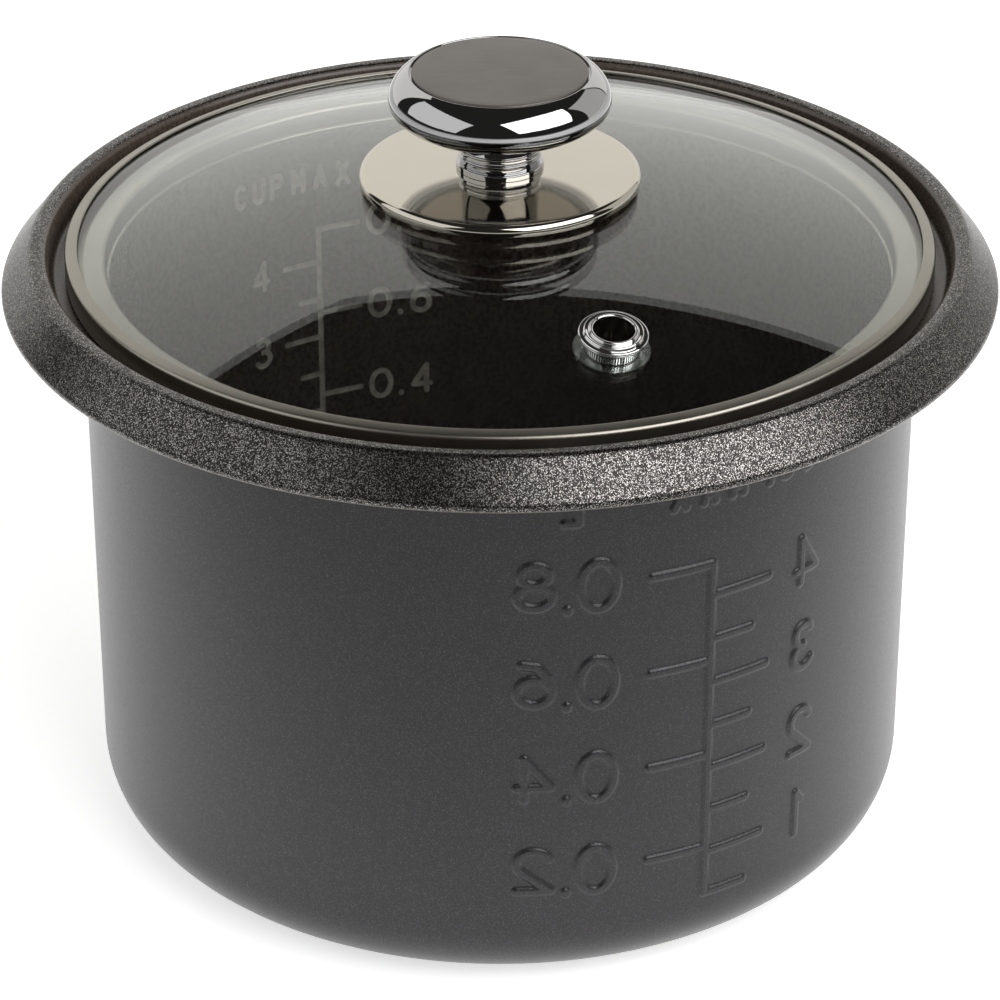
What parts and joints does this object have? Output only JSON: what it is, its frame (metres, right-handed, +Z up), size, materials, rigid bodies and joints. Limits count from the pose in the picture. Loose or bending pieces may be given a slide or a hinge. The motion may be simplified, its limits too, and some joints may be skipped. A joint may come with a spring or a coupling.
{
  "type": "rice cooker inner pot with glass lid",
  "caption": "Flanged round cooking pot with stamped level scale, and a domed glass lid with steel rim, steam vent and screwed-on round knob.",
  "frame": {"origin": "centre of the pot's base, on the surface it stands on", "axes": "+Z up along the pot's axis; -Y towards the front, where the level scale and the steam vent are a little to the +X side"},
  "size_m": [0.188, 0.188, 0.152],
  "materials": {
    "pot_coating": "fine metallic speckle, satin",
    "lid_glass": "clear tempered glass",
    "rim_steel": "spun satin",
    "vent_chrome": "polished",
    "washer_steel": "plain",
    "silicone": "translucent silicone",
    "vent_silicone": "dark silicone",
    "knob_disc": "satin brown-grey",
    "knob_chrome": "polished",
    "plate_steel": "polished stainless",
    "filler_resin": "moulded",
    "core_brass": "turned",
    "screw_steel": "plated"
  },
  "bodies": {
    "pot": {"inner_pot": "pot_coating"},
    "lid": {"lid_glass": "lid_glass", "lid_rim_band": "rim_steel", "vent_seat_ring": "vent_chrome", "vent_eyelet": "vent_chrome", "vent_grommet": "vent_silicone", "vent_backing_washer": "washer_steel", "knob_insert_disc": "knob_disc", "knob_shell": "knob_chrome", "knob_filler": "filler_resin", "knob_core": "core_brass", "knob_stem": "knob_chrome", "knob_collar": "knob_chrome", "knob_base_plate": "plate_steel", "knob_gasket_upper": "silicone", "glass_hole_bushing": "silicone", "knob_gasket_lower": "silicone", "knob_washer": "washer_steel", "lock_washer": "washer_steel", "knob_screw": "screw_steel"}
  },
  "joints": [
    {"name": "lid_lift", "type": "slide", "parent": "pot", "child": "lid", "axis": [0, 0, 1], "range_m": [0, 0.08]}
  ]
}
